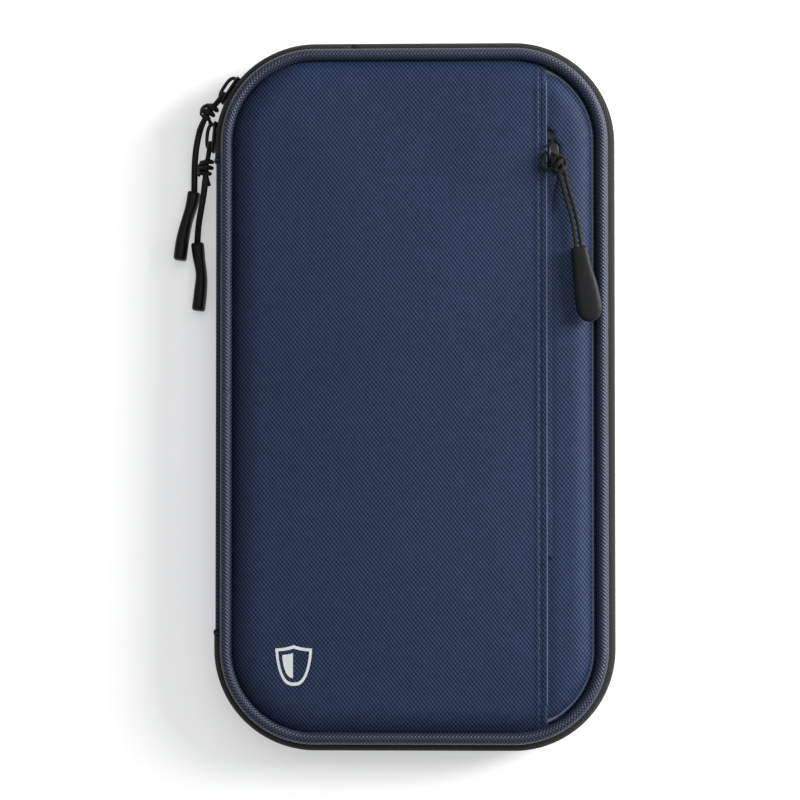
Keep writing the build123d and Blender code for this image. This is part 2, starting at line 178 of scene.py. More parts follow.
def dotted_fabric(name, dark, light, planes=(0, 1), wide=0.00140, tall=0.00170, depth=0.00012):
    """Coated weave: raised dots in a brick lattice, joined along one diagonal."""
    n = Nodes(name)
    axes = n.axes("Object")
    across = n.math("MULTIPLY", axes[planes[0]], 1 / wide)
    upward = n.math("MULTIPLY", axes[planes[1]], 1 / tall)
    rise = n.wave(n.math("ADD", across, upward), 1.0)
    fall = n.wave(n.math("SUBTRACT", across, upward), 1.0)
    slant = n.math("MULTIPLY", rise, 0.62)
    raised = n.math("ADD", slant, n.math("MULTIPLY", fall, 0.38))
    uneven = n.ramp(n.noise(420, 2), -0.16, 0.16)
    wear = n.ramp(n.noise(22, 4), -0.10, 0.14)
    tone = n.math("ADD", n.math("ADD", raised, uneven), wear, True)
    n.colour(n.mix(n.math("POWER", tone, 1.5), dark, light))
    n.base(n.ramp(raised, 0.74, 0.56), 0.26, 0.05, 0.4)
    grain = n.math("MULTIPLY", n.noise(2600, 2), 0.2)
    n.bump(n.math("ADD", raised, grain), depth, 0.8)
    return n.material


def rope_fabric(name, dark, light):
    """The same weave cut on the bias over the piping cord: UV runs along and round it, in metres."""
    n = Nodes(name)
    along, around = n.axes("UV")[0:2]
    lean = n.math("MULTIPLY", around, 0.8)
    first = n.wave(n.math("ADD", along, lean), 0.00125)
    second = n.wave(n.math("SUBTRACT", along, lean), 0.00125)
    raised = n.math("ADD", n.math("MULTIPLY", first, 0.62), n.math("MULTIPLY", second, 0.38))
    tone = n.math("ADD", raised, n.ramp(n.noise(300, 2), -0.15, 0.15), True)
    n.colour(n.mix(n.math("POWER", tone, 1.4), dark, light))
    n.base(n.ramp(raised, 0.56, 0.36), 0.55, 0.05, 0.4)
    n.bump(raised, 0.0002, 0.9)
    return n.material


def woven_tape(name, dark, light):
    """Twill zip tape: UV runs along and across the tape, in metres."""
    n = Nodes(name)
    along, across = n.axes("UV")[0:2]
    twill = n.wave(n.math("ADD", along, n.math("MULTIPLY", across, 1.3)), 0.0013)
    ribs = n.wave(across, 0.00045)
    weave = n.math("ADD", n.math("MULTIPLY", twill, 0.75), n.math("MULTIPLY", ribs, 0.25))
    n.colour(n.mix(n.math("POWER", weave, 1.6), dark, light))
    n.base(0.78, 0.25, 0.05, 0.5)
    n.bump(weave, 0.00018, 0.9)
    return n.material


def plain_weave(
    name, dark, light, pitch=0.0006, planes=(0, 1), depth=0.00006, sheen=0.2, roughness=0.75
):
    n = Nodes(name)
    axes = n.axes("Object")
    warp = n.wave(axes[planes[0]], pitch)
    weft = n.wave(axes[planes[1]], pitch)
    weave = n.math("ADD", n.math("MULTIPLY", warp, 0.5), n.math("MULTIPLY", weft, 0.5))
    tone = n.math("ADD", n.math("MULTIPLY", weave, 0.6), n.math("MULTIPLY", n.noise(60, 3), 0.5))
    n.colour(n.mix(tone, dark, light))
    n.base(roughness, 0.3, sheen, 0.5)
    n.bump(weave, depth, 0.8)
    return n.material


def braided_cord(name, dark, light):
    """Fine diagonal braid, from two crossing sets of bands."""
    n = Nodes(name)
    axes = n.axes("Object")
    rise = n.math("ADD", axes[0], axes[1])
    first = n.wave(n.math("ADD", rise, axes[2]), 0.00085)
    second = n.wave(n.math("SUBTRACT", axes[1], n.math("ADD", axes[0], axes[2])), 0.00085)
    braid = n.math("MAXIMUM", first, second)
    n.colour(n.mix(braid, dark, light))
    n.base(0.72, 0.25, 0.05, 0.45)
    n.bump(braid, 0.00016, 0.9)
    return n.material


def moulded(name, dark, light, roughness, grain, depth, specular=0.5, metallic=0.0):
    """Moulded rubber, plastic or painted metal with a fine grain and uneven gloss."""
    n = Nodes(name)
    cloud = n.noise(140, 4)
    n.colour(n.mix(cloud, dark, light))
    n.base(n.ramp(cloud, roughness - 0.07, roughness + 0.09), specular, metallic=metallic)
    n.bump(n.noise(grain, 3), depth, 0.6)
    return n.material


def mesh_thread(name, dark, light):
    n = Nodes(name)
    twist = n.wave(n.math("ADD", n.axes("Object")[0], n.axes("Object")[1]), 0.0004)
    n.colour(n.mix(twist, dark, light))
    n.base(0.6, 0.3, 0.05, 0.4)
    n.bump(twist, 0.00005, 0.7)
    return n.material


NAVY_DARK, NAVY_LIGHT = (0.0018, 0.0060, 0.022), (0.032, 0.063, 0.146)
navy = dotted_fabric("navy_dotted_fabric", NAVY_DARK, NAVY_LIGHT)
navy_spine = dotted_fabric("navy_spine_fabric", NAVY_DARK, NAVY_LIGHT, planes=(1, 2))
navy_rope = rope_fabric("navy_piping_fabric", (0.0015, 0.0040, 0.0135), (0.027, 0.046, 0.100))
# Lighter navy for the cord on the seam's folded edge: a painted highlight where the key light catches
# the fold
navy_edge_painted_highlight = plain_weave("navy_folded_edge_painted_highlight", (0.035, 0.060, 0.115), (0.075, 0.110, 0.185), 0.0009)
navy_thread = mesh_thread("navy_thread", (0.004, 0.008, 0.022), (0.022, 0.036, 0.08))
tape_black = woven_tape("black_zip_tape", (0.0025, 0.0022, 0.0020), (0.042, 0.040, 0.036))
coil_black = moulded(
    "black_nylon_coil", (0.004, 0.004, 0.004), (0.010, 0.0095, 0.009), 0.42, 1500, 0.00001, 0.3
)
metal_black = moulded(
    "black_painted_metal", (0.0025, 0.0025, 0.0027), (0.006, 0.006, 0.0065), 0.36, 2200, 0.000012, 0.3
)
cord_black = braided_cord("black_braided_cord", (0.0020, 0.0020, 0.0020), (0.017, 0.016, 0.015))
rubber_black = moulded(
    "black_moulded_rubber", (0.0045, 0.0050, 0.0058), (0.0080, 0.0086, 0.0096), 0.50, 3200, 0.00002, 0.22
)
lining_grey = plain_weave("grey_lining", (0.055, 0.060, 0.070), (0.135, 0.145, 0.165))
leaf_grey = plain_weave("grey_pocket_fabric", (0.045, 0.050, 0.062), (0.115, 0.125, 0.148), 0.0007)
binding_black = plain_weave("black_binding", (0.003, 0.003, 0.0035), (0.014, 0.014, 0.015), 0.0009)
elastic_black = plain_weave(
    "ribbed_elastic", (0.006, 0.006, 0.007), (0.035, 0.035, 0.038), 0.0011, (1, 1), 0.0002
)
thread_grey = mesh_thread("grey_thread", (0.05, 0.053, 0.06), (0.16, 0.17, 0.19))
mesh_black = mesh_thread("black_net", (0.008, 0.008, 0.009), (0.035, 0.035, 0.038))
print_white = moulded("white_print", (0.70, 0.72, 0.75), (0.80, 0.82, 0.84), 0.5, 2600, 0.000008)
board_grey = moulded("board", (0.06, 0.06, 0.06), (0.09, 0.09, 0.09), 0.7, 900, 0.00001)
foil_grey = moulded("foil", (0.5, 0.5, 0.52), (0.62, 0.62, 0.64), 0.35, 500, 0.00002, metallic=1.0)


# ---------------------------------------------------------------- mesh helpers
def make_mesh(name, points, faces, uvs=None, smooth_shade=True):
    """Object from points in millimetres; uvs is one list of pairs in metres per face."""
    mesh = bpy.data.meshes.new(name)
    mesh.from_pydata([(x * MM, y * MM, z * MM) for x, y, z in points], [], faces)
    if uvs:
        layer = mesh.uv_layers.new(name="UVMap")
        flat = [pair for face in uvs for pair in face]
        layer.data.foreach_set("uv", [value for pair in flat for value in pair])
    mesh.polygons.foreach_set("use_smooth", [smooth_shade] * len(mesh.polygons))
    mesh.validate()
    mesh.update()
    piece = bpy.data.objects.new(name, mesh)
    bpy.context.scene.collection.objects.link(piece)
    return piece


def dress(piece, body, slot, material, *replaced):
    """Give a piece its material, the body it rides on and the nodes it stands for; slot is not used."""
    piece.data.materials.clear()
    piece.data.materials.append(material)
    if body:
        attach(piece, body)
    if replaced:
        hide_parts(*replaced)
    return piece


def join_parts(parts):
    """Points and faces of several (points, faces) pairs as one."""
    points, faces = [], []
    for part_points, part_faces in parts:
        start = len(points)
        points += [tuple(p) for p in part_points]
        faces += [[i + start for i in face] for face in part_faces]
    return points, faces


def outward(piece):
    """Make a closed piece's faces point outwards."""
    import bmesh
    work = bmesh.new()
    work.from_mesh(piece.data)
    bmesh.ops.recalc_face_normals(work, faces=work.faces)
    work.to_mesh(piece.data)
    work.free()
    return piece


TRACK = [
    ("line", CORNER_Y, (-HALF_W, 0), (0, 1)),
    ("arc", pi / 2 * CORNER, (-CORNER_X, CORNER_Y), pi),
    ("line", 2 * CORNER_X, (-CORNER_X, HALF_H), (1, 0)),
    ("arc", pi / 2 * CORNER, (CORNER_X, CORNER_Y), pi / 2),
    ("line", 2 * CORNER_Y, (HALF_W, CORNER_Y), (0, -1)),
    ("arc", pi / 2 * CORNER, (CORNER_X, -CORNER_Y), 0),
    ("line", 2 * CORNER_X, (CORNER_X, -HALF_H), (-1, 0)),
    ("arc", pi / 2 * CORNER, (-CORNER_X, -CORNER_Y), -pi / 2),
    ("line", CORNER_Y, (-HALF_W, -CORNER_Y), (0, 1)),
]
TRACK_LENGTH = sum(part[1] for part in TRACK)


def track(s):
    """Point and outward normal on the piping line, clockwise from the middle of the left side."""
    s = s % TRACK_LENGTH
    for kind, length, place, way in TRACK:
        if s <= length:
            break
        s -= length
    if kind == "line":
        return place[0] + way[0] * s, place[1] + way[1] * s, -way[1], way[0]
    angle = way - s / CORNER
    return place[0] + CORNER * cos(angle), place[1] + CORNER * sin(angle), cos(angle), sin(angle)


def stations(start, end, straight=4.0, curved=1.2):
    """Places along the track between two lengths, closer together in the corners."""
    places, s = [start], start
    while s < end - 1e-6:
        left = s % TRACK_LENGTH
        for kind, length, _, _ in TRACK:
            if left < length - 1e-6:
                break
            left -= length
        s = min(end, s + min(straight if kind == "line" else curved, length - left))
        places.append(s)
    return places


def ring_grid(name, profile, start=0.0, end=TRACK_LENGTH, closed_profile=True, **steps):
    """Sweep (outward, z) points along the track; profile may be a function of the length."""
    whole = end - start >= TRACK_LENGTH - 1e-6
    places = stations(start, end, **steps)
    if whole:
        places = places[:-1]
    outline = profile if callable(profile) else (lambda s: profile)
    count = len(outline(start))
    points, rounds = [], [0.0]
    first = outline(start)
    for one, two in zip(first, first[1:] + first[:1]):
        rounds.append(rounds[-1] + hypot(two[0] - one[0], two[1] - one[1]))
    for s in places:
        x, y, nx, ny = track(s)
        points += [(x + nx * u, y + ny * u, z) for u, z in outline(s)]
    faces, uvs = [], []
    rows = len(places)
    for i in range(rows if whole else rows - 1):
        j = (i + 1) % rows
        s_one = places[i] * MM
        s_two = (places[j] if j else end) * MM
        for k in range(count if closed_profile else count - 1):
            m = (k + 1) % count
            v_one, v_two = rounds[k] * MM, rounds[k + 1] * MM
            faces.append([i * count + k, j * count + k, j * count + m, i * count + m])
            uvs.append([(s_one, v_one), (s_two, v_one), (s_two, v_two), (s_one, v_two)])
    if closed_profile and not whole:
        for row in (0, rows - 1):
            cap = [row * count + k for k in range(count)]
            faces.append(cap)
            uvs.append([(0, 0)] * count)
    return outward(make_mesh(name, points, faces, uvs))


def thick_line(centre, thickness):
    """Closed outline of a strip of even thickness about a list of (u, z) points."""
    sides = ([], [])
    for i, (u, z) in enumerate(centre):
        before = centre[max(i - 1, 0)]
        after = centre[min(i + 1, len(centre) - 1)]
        du, dz = after[0] - before[0], after[1] - before[1]
        size = hypot(du, dz)
        for side, sign in zip(sides, (1, -1)):
            side.append((u - sign * dz / size * thickness / 2, z + sign * du / size * thickness / 2))
    return sides[0] + sides[1][::-1]


def carried_frames(points):
    """Unit tangent, side and up vectors along a line, turned as little as possible."""
    tangents = []
    for i in range(len(points)):
        tangent = points[min(i + 1, len(points) - 1)] - points[max(i - 1, 0)]
        tangents.append(tangent.normalized())
    side = tangents[0].orthogonal().normalized()
    frames = []
    for tangent in tangents:
        side = (side - tangent * side.dot(tangent)).normalized()
        frames.append((tangent, side, tangent.cross(side)))
    return frames


def tube_parts(points, radius, sides=8, closed=False):
    """Round tube along points; radius may be a list. A closed tube joins its ends."""
    points = [Vector(p) for p in points]
    radii = radius if isinstance(radius, (list, tuple)) else [radius] * len(points)
    rings = []
    for point, size, (_, side, rise) in zip(points, radii, carried_frames(points)):
        for k in range(sides):
            angle = 2 * pi * k / sides
            rings.append(tuple(point + (side * cos(angle) + rise * sin(angle)) * size))
    faces, rows = [], len(points)
    for i in range(rows if closed else rows - 1):
        j = (i + 1) % rows
        for k in range(sides):
            m = (k + 1) % sides
            faces.append([i * sides + k, j * sides + k, j * sides + m, i * sides + m])
    if not closed:
        faces.append(list(range(sides))[::-1])
        faces.append([(rows - 1) * sides + k for k in range(sides)])
    return rings, faces


def stitch_row(name, places, body, material, slot, stitch=2.3, gap=0.7, radius=0.22):
    """Thread stitches along a line given by a list of points on a surface."""
    places = [Vector(p) for p in places]
    lengths = [0.0]
    for one, two in zip(places, places[1:]):
        lengths.append(lengths[-1] + (two - one).length)

    def at(s):
        i = min(max(np.searchsorted(lengths, s) - 1, 0), len(places) - 2)
        share = (s - lengths[i]) / max(lengths[i + 1] - lengths[i], 1e-9)
        return places[i].lerp(places[i + 1], share)

    parts, s = [], gap
    while s + stitch < lengths[-1]:
        line = [at(s + stitch * t) for t in (0, 0.14, 0.5, 0.86, 1)]
        parts.append(tube_parts(line, [radius * share for share in (0.35, 0.85, 1, 0.85, 0.35)], 6))
        s += stitch + gap
    return dress(make_mesh(name, *join_parts(parts)), body, slot, material)


def rounded_block_parts(centre, x_dir, y_dir, size, bevel=0.3, power=4.0, around=28):
    """Plate with a super-ellipse outline and softened edges; size is (x, y, thickness)."""
    z_dir = x_dir.cross(y_dir)
    outline = []
    for k in range(around):
        angle = 2 * pi * k / around
        c, s = cos(angle), sin(angle)
        outline.append((
            np.sign(c) * abs(c) ** (2 / power) * size[0] / 2,
            np.sign(s) * abs(s) ** (2 / power) * size[1] / 2,
        ))
    half = size[2] / 2
    points = []
    for level, shrink in ((-half, bevel), (-half + bevel * 0.4, bevel * 0.3), (-half + bevel, 0),
                          (half - bevel, 0), (half - bevel * 0.4, bevel * 0.3), (half, bevel)):
        for x, y in outline:
            keep_x = 1 - 2 * shrink / size[0]
            keep_y = 1 - 2 * shrink / size[1]
            points.append(tuple(centre + x_dir * x * keep_x + y_dir * y * keep_y + z_dir * level))
    faces = []
    for row in range(5):
        for k in range(around):
            m = (k + 1) % around
            near, far_row = row * around, (row + 1) * around
            faces.append([near + k, near + m, far_row + m, far_row + k])
    faces.append(list(range(around))[::-1])
    faces.append([5 * around + k for k in range(around)])
    return points, faces


# ---------------------------------------------------------------- panels
def edge_distance(x, y):
    """How far a point lies inside the panel's rounded outline."""
    half_w, half_h, round_by = HALF_W - PANEL_INSET, HALF_H - PANEL_INSET, CORNER - PANEL_INSET
    dx, dy = abs(x) - (half_w - round_by), abs(y) - (half_h - round_by)
    outside = hypot(max(dx, 0), max(dy, 0))
    return round_by - outside - min(max(dx, dy), 0)


def crown(x, y):
    """Height of the front panel: it rolls up out of the groove, then rises slowly to its middle."""
    d = edge_distance(x, y)
    quick = 1 - (1 - min(d / 9.0, 1)) ** 2.3
    slow = 1 - (1 - min(d / 58.0, 1)) ** 1.9
    ripple = 0.07 * sin(x * 0.11 + 1.3) * sin(y * 0.05 + 0.4) * min(d / 20, 1)
    return PANEL_EDGE_Z + 3.9 * quick + 2.6 * slow + ripple


def outline_half_width(y):
    """Half width of the panel at a height."""
    half_w, half_h, round_by = HALF_W - PANEL_INSET, HALF_H - PANEL_INSET, CORNER - PANEL_INSET
    over = abs(y) - (half_h - round_by)
    if over <= 0:
        return half_w
    return half_w - round_by + sqrt(max(round_by ** 2 - over ** 2, 0))


def panel_rows():
    """Heights of the panel's grid rows, evenly turned through the corners."""
    half_h, round_by = HALF_H - PANEL_INSET, CORNER - PANEL_INSET
    straight = half_h - round_by
    arc = [straight + round_by * sin(pi / 2 * t / 26) for t in range(27)]
    middle = list(np.linspace(-straight, straight, 72))[1:-1]
    return [-y for y in arc[::-1]] + middle + arc


def sheet_grid(name, rows, edges, height, back_offset, columns=44, floor=None):
    """Fabric between two edges, each a function of y, with a second skin behind it or at a floor."""
    points, width = [], columns + 1
    shares = [0.5 - 0.5 * cos(pi * k / columns) for k in range(width)]
    for y in rows:
        low, high = edges(y)
        for share in shares:
            x = low + (high - low) * share
            points.append((x, y, height(x, y)))
    count = len(points)
    points += [(x, y, z - back_offset if floor is None else floor) for x, y, z in points[:count]]
    faces = []
    for i in range(len(rows) - 1):
        for k in range(columns):
            a, b = i * width + k, i * width + k + 1
            c, d = a + width, b + width
            faces.append([a, b, d, c])
            faces.append([a + count, c + count, d + count, b + count])
    for i in range(len(rows) - 1):
        for k in (0, columns):
            a, c = i * width + k, (i + 1) * width + k
            faces.append([a, c, c + count, a + count])
    for k in range(columns):
        for row in (0, len(rows) - 1):
            a = row * width + k
            faces.append([a, a + 1, a + 1 + count, a + count])
    return outward(make_mesh(name, points, faces))


def flap_height(x, y):
    """Front panel with the folded edge of the flap standing up along the seam."""
    fold = float(smooth((x - (SEAM_X - 4.6)) / 1.6)) * 0.30
    groove = 0.34 * np.exp(-((x - (SEAM_X - 2.2)) / 0.55) ** 2)
    drop = max(0.0, x - (SEAM_X - 0.7)) / 0.7
    return crown(x, y) + fold - groove - 1.1 * drop ** 2.2


def main_edges(y):
    half = outline_half_width(y)
    return -half, min(half, SEAM_X)


def seam_columns(name):
    """Front panel grid, with closely spaced columns beside the seam."""
    rows = panel_rows()
    shares = list(np.linspace(0, 1, 40) ** 1.0)
    tail = [SEAM_X - d for d in (6, 5.2, 4.7, 4.2, 3.6, 3.2, 2.9, 2.6, 2.35, 2.1, 1.85, 1.6, 1.3, 1.0,
                                 0.75, 0.55, 0.4, 0.28, 0.18, 0.1, 0.04, 0)]
    points, width = [], len(shares) + len(tail)
    for y in rows:
        low, high = main_edges(y)
        flat_end = min(SEAM_X - 7, high - 0.5 * max(high - low, 0.01) / 40)
        for share in shares:
            x = low + (flat_end - low) * share
            points.append((x, y, flap_height(x, y)))
        for place in tail:
            x = flat_end + (place - (SEAM_X - 7)) / 7 * (high - flat_end)
            points.append((x, y, flap_height(x if high < SEAM_X else place, y)))
    count = len(points)
    points += [(x, y, z - 0.8) for x, y, z in points]
    faces = []
    for i in range(len(rows) - 1):
        for k in range(width - 1):
            a = i * width + k
            c = a + width
            faces.append([a, a + 1, c + 1, c])
            faces.append([a + count, c + count, c + 1 + count, a + 1 + count])
        for k in (0, width - 1):
            a, c = i * width + k, (i + 1) * width + k
            faces.append([a, c, c + count, a + count])
    return outward(make_mesh(name, points, faces))


front_panel = dress(
    seam_columns("front_panel_fabric"), "front_half", "navy_fabric", navy, "front_panel"
)

POCKET_TOP = 89.5
SLIDER_Y = 81.0
POCKET_END = mm_box("pocket_zip_coils")[0].y


def side_edge(y):
    """Left edge of the side panel: beside the seam, open along the slit, and wide at the slider."""
    if y > POCKET_TOP or y < POCKET_END:
        return SEAM_X - 0.25
    mouth = smooth((POCKET_TOP - y) / 6.5) * 3.9
    closing = smooth((SLIDER_Y - 4 - y) / 14.0) * 2.25
    return SEAM_X + max(mouth - closing, SLIT)


def mouth_share(y):
    """1 at the slider's open mouth, 0 where the slit below it is closed."""
    return float(smooth((y - (SLIDER_Y - 24)) / 12) * (1 - smooth((y - POCKET_TOP) / 2)))


def side_height(x, y):
    near = max(0.0, 1 - (x - side_edge(y)) / 2.0)
    groove = 0.5 * np.exp(-((edge_distance(x, y) / 2.6) ** 4))
    fold = 0.45 * np.exp(-(((x - SEAM_X) / 2.2) ** 2))
    return crown(x, y) - 0.15 - 0.7 * near ** 2 * mouth_share(y) - groove - fold


side_rows = [y for y in panel_rows() if outline_half_width(y) > SEAM_X + 0.4]
extra = list(np.linspace(POCKET_TOP - 18, POCKET_TOP + 1, 40)) + [POCKET_END - 0.1, POCKET_END + 0.1]
side_rows = sorted(side_rows + extra)
side_panel = sheet_grid(
    "front_side_fabric", side_rows, lambda y: (side_edge(y), outline_half_width(y)), side_height, 0.8, 26
)
dress(side_panel, "front_half", "navy_fabric", navy, "front_side_panel")

# The lips of the closed zip below the slider
LIP_TOP = SLIDER_Y - 4.4
lip = sheet_grid(
    "pocket_zip_lip", list(np.linspace(POCKET_END, LIP_TOP, 90)),
    lambda y: (SEAM_X - 0.9, side_edge(y) + 0.04),
    lambda x, y: crown(x, y) - 0.15 - 0.8 * mouth_share(y), 0.5, 8,
)
dress(lip, "front_half", "navy_fabric", navy)
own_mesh(lip)

bag_low, bag_high = mm_box("front_pocket_bag")
pocket_bag = sheet_grid(
    "front_pocket_cloth", list(np.linspace(bag_low.y, bag_high.y, 60)),
    lambda y: (bag_low.x, bag_high.x),
    lambda x, y: max(min(crown(x, y) - 1.4, bag_high.z), bag_low.z + 0.5), 0, 30, floor=bag_low.z + 0.1,
)
dress(pocket_bag, "front_half", "grey_lining", lining_grey, "front_pocket_bag")

back_panel = sheet_grid(
    "back_panel_fabric", panel_rows(), lambda y: (-outline_half_width(y), outline_half_width(y)),
    lambda x, y: THICK - crown(x, y), -0.8, 60,
)
dress(back_panel, "back_half", "navy_fabric", navy, "back_panel")

seam_line = []
for y in np.linspace(-HALF_H + 4.4, HALF_H - 4.4, 260):
    x = SEAM_X - 2.2
    if outline_half_width(y) > x + 1.5:
        seam_line.append((x, y, flap_height(x, y) + 0.10))
# Folded edge of the flap along the seam: a thin cord in the lighter navy, a painted highlight of the lit
# fold
edge_line = [(SEAM_X - 0.25, y, crown(SEAM_X, y) + 0.28) for y in np.linspace(-104, 106, 140)]
edge_cord = outward(make_mesh("front_seam_edge", *tube_parts(edge_line, 0.30)))
dress(edge_cord, "front_half", "navy_fabric", navy_edge_painted_highlight)
stitch_row("front_seam_stitches", seam_line, "front_half", navy_thread, "navy_fabric")


# ---------------------------------------------------------------- piping
def pipe_profile(centre_z, sides=18):
    angles = [2 * pi * k / sides for k in range(sides)]
    return [(PIPE_R * cos(angle), centre_z + PIPE_R * sin(angle)) for angle in angles]


for half, centre_z in (("front", FRONT_PIPE_Z), ("back", THICK - FRONT_PIPE_Z)):
    cover = ring_grid(f"{half}_piping_cover", pipe_profile(centre_z))
    dress(cover, f"{half}_half", "navy_piping", navy_rope, f"{half}_piping")

# ---------------------------------------------------------------- main zip
TAPE_Z, TAPE_OUT, TAPE_BEND, TAPE_THICK = 7.4, 4.0, 2.4, 0.7
ARC_START = CORNER_Y


def tape_line(front, flange=5.5, edge=12.8):
    """Middle of the tape: flange, bend and the wall that carries the coil."""
    line = [(-flange, TAPE_Z), (-1.0, TAPE_Z), (TAPE_OUT - TAPE_BEND, TAPE_Z)]
    for k in range(1, 7):
        angle = pi / 2 * k / 6
        u = TAPE_OUT - TAPE_BEND + TAPE_BEND * sin(angle)
        line.append((u, TAPE_Z + TAPE_BEND * (1 - cos(angle))))
    line += [(TAPE_OUT, 11.2), (TAPE_OUT, edge)]
    return [(u, THICK - z) for u, z in line] if front else line


def coil_parts(front, start, end, phase):
    """Spiral of nylon inside the tape's edge, flattened, with heads that reach the middle."""
    pitch, wire, steps = 1.3, 0.3, 10
    turns = int((end - start) / pitch)
    centre_u, half_u = TAPE_OUT - TAPE_THICK / 2 - 0.85, 0.52
    low, high = 9.95, 12.95
    points = []
    for i in range(turns * steps + 1):
        turn = i / steps
        s = start + (turn + phase) * pitch
        angle = 2 * pi * turn
        x, y, nx, ny = track(s)
        u = centre_u + half_u * sin(angle)
        z = (low + high) / 2 - (high - low) / 2 * cos(angle)
        points.append((x + nx * u, y + ny * u, THICK - z if front else z))
    return tube_parts(points, wire, 5)


def arc_place(angle):
    """Track length at an angle round the top left corner, from the left."""
    return ARC_START + CORNER * angle


end_place = ZIP_END
loose_place = arc_place(pi / 2) + 12.0  # the cover's tape lies flat on the cover from here
far = TRACK_LENGTH
back_tape = ring_grid(
    "back_zip_tape_woven", thick_line(tape_line(False), TAPE_THICK), end_place, far - end_place
)
dress(back_tape, "back_half", "black_tape", tape_black, "back_zip_tape")
back_coil = make_mesh("back_zip_coil_spiral", *coil_parts(False, end_place, far - end_place, 0.0))
dress(back_coil, "back_half", "black_coil", coil_black, "back_zip_coil")
front_tape = ring_grid(
    "front_zip_tape_woven", thick_line(tape_line(True), TAPE_THICK), loose_place, far - loose_place
)
dress(front_tape, "front_half", "black_tape", tape_black, "front_zip_tape")
front_coil = make_mesh("front_zip_coil_spiral", *coil_parts(True, loose_place, far - loose_place, 0.5))
dress(front_coil, "front_half", "black_coil", coil_black, "front_zip_coil")

# At both left corners the cover's tape is free cloth between the closed end of the zip and the cover
for place, sign in (("top", 1), ("bottom", -1)):
    limits = (end_place, loose_place) if sign > 0 else (far - loose_place, far - end_place)
    tape = ring_grid(
        f"zip_gusset_tape_{place}", thick_line(tape_line(True, flange=1.6), TAPE_THICK),
        *limits, straight=1.5,
    )
    coil = make_mesh(f"zip_gusset_coil_{place}", *coil_parts(True, *limits, 0.5))
    dress(tape, None, "black_tape", tape_black, *(["zip_end_tapes"] if sign > 0 else []))
    dress(coil, None, "black_coil", coil_black, *(["zip_end_coils"] if sign > 0 else []))
    for piece, slope in ((tape, 1 / 5.4), (coil, 0)):
        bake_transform(piece)

# Stitching that holds each tape, seen on its flange from inside
for half in ("back", "front"):
    line = []
    for s in np.linspace(end_place, far - end_place, 500):
        x, y, nx, ny = track(s)
        z = 8.42 if half == "back" else THICK - 8.42
        line.append((x - nx * 3.6, y - ny * 3.6, z))
    stitch_row(f"{half}_binding_stitches", line, f"{half}_half", thread_grey, "black_tape")

for half in ("back", "front"):
    inner, outer = 6.75, 2.3
    if half == "back":
        shape = [(-inner, 3.65), (-inner + 0.1, 8.0), (-inner + 0.5, 8.4), (-outer - 0.4, 8.4),
                 (-outer, 8.1), (-outer - 0.3, 7.85), (-6.1, 7.8), (-6.1, 3.65)]
    else:
        shape = [(-inner, 20.05), (-inner + 0.1, 18.0), (-inner + 0.5, 17.6), (-outer - 0.4, 17.6),
                 (-outer, 17.9), (-outer - 0.3, 18.15), (-6.1, 18.2), (-6.1, 20.05)]
    binding = ring_grid(f"{half}_binding_tape", shape)
    dress(binding, f"{half}_half", "black_tape", binding_black, f"{half}_binding")

# ---------------------------------------------------------------- spine
SPINE_HALF = mm_box("spine_panel")[1].y
SPINE_OUT = -mm_box("spine_panel")[0].x - HALF_W
SPINE_FABRIC = 0.8
wall = SPINE_OUT - SPINE_FABRIC / 2
spine_line = [(1.3, 7.0), (2.3, 7.0), (wall - 0.3, 7.2), (wall, 7.8)]
for k in range(1, 12):
    spine_line.append((wall + 0.05 * sin(pi * k / 12), 7.8 + 10.2 * k / 12))
spine_line += [(wall, 18.0), (wall - 0.3, 18.6), (2.3, 18.8), (1.3, 18.8)]
spine = ring_grid(
    "spine_fabric", thick_line(spine_line, SPINE_FABRIC),
    TRACK_LENGTH - SPINE_HALF, TRACK_LENGTH + SPINE_HALF,
)
dress(spine, "back_half", "navy_fabric", navy_spine, "spine_panel")
for sign in (-1, 1):
    stitch_x, stitch_y = -HALF_W - SPINE_OUT - 0.02, sign * (SPINE_HALF - 1.6)
    line = [(stitch_x, stitch_y, z) for z in np.linspace(9.6, 16.0, 8)]
    name = f"spine_end_stitches_{'top' if sign > 0 else 'bottom'}"
    stitch_row(name, line, "back_half", navy_thread, "navy_fabric", 1.6, 0.5)

tab_parts = []
for sign in (-1, 1):
    low, high = SPINE_HALF, ZIP_END
    centre = Vector((-HALF_W - 2.9, sign * (low + high) / 2, THICK / 2))
    tab_parts.append(rounded_block_parts(
        centre, UP, NORTH, (10.2, high - low + 0.2, 3.2), 0.6, 6
    ))
tabs = outward(make_mesh("zip_end_tab_fabric", *join_parts(tab_parts)))
dress(tabs, "back_half", "navy_fabric", navy_spine, "zip_end_tabs")


# ---------------------------------------------------------------- sliders
def arch_parts(seat, out, along, across, base, tip, length, wire, flat):
    """Crown: a bar bent into an arch, from one end of the plate to the other."""
    points = []
    for k in range(25):
        angle = pi * k / 24
        reach = base + (tip - base - wire / 2) * min(1.0, sin(angle) ** 0.55)
        shift = np.sign(cos(angle)) * abs(cos(angle)) ** 0.8
        points.append(seat + out * reach - along * (length - wire) / 2 * shift)
    sides, rings = 10, []
    for i, point in enumerate(points):
        tangent = (points[min(i + 1, 24)] - points[max(i - 1, 0)]).normalized()
        side = across.normalized()
        rise = tangent.cross(side).normalized()
        for m in range(sides):
            angle = 2 * pi * m / sides
            rings.append(tuple(point + side * cos(angle) * flat / 2 + rise * sin(angle) * wire / 2))
    faces = []
    for i in range(24):
        for m in range(sides):
            j = (m + 1) % sides
            faces.append([i * sides + m, (i + 1) * sides + m, (i + 1) * sides + j, i * sides + j])
    faces.append(list(range(sides)))
    faces.append([24 * sides + m for m in range(sides)][::-1])
    return rings, faces


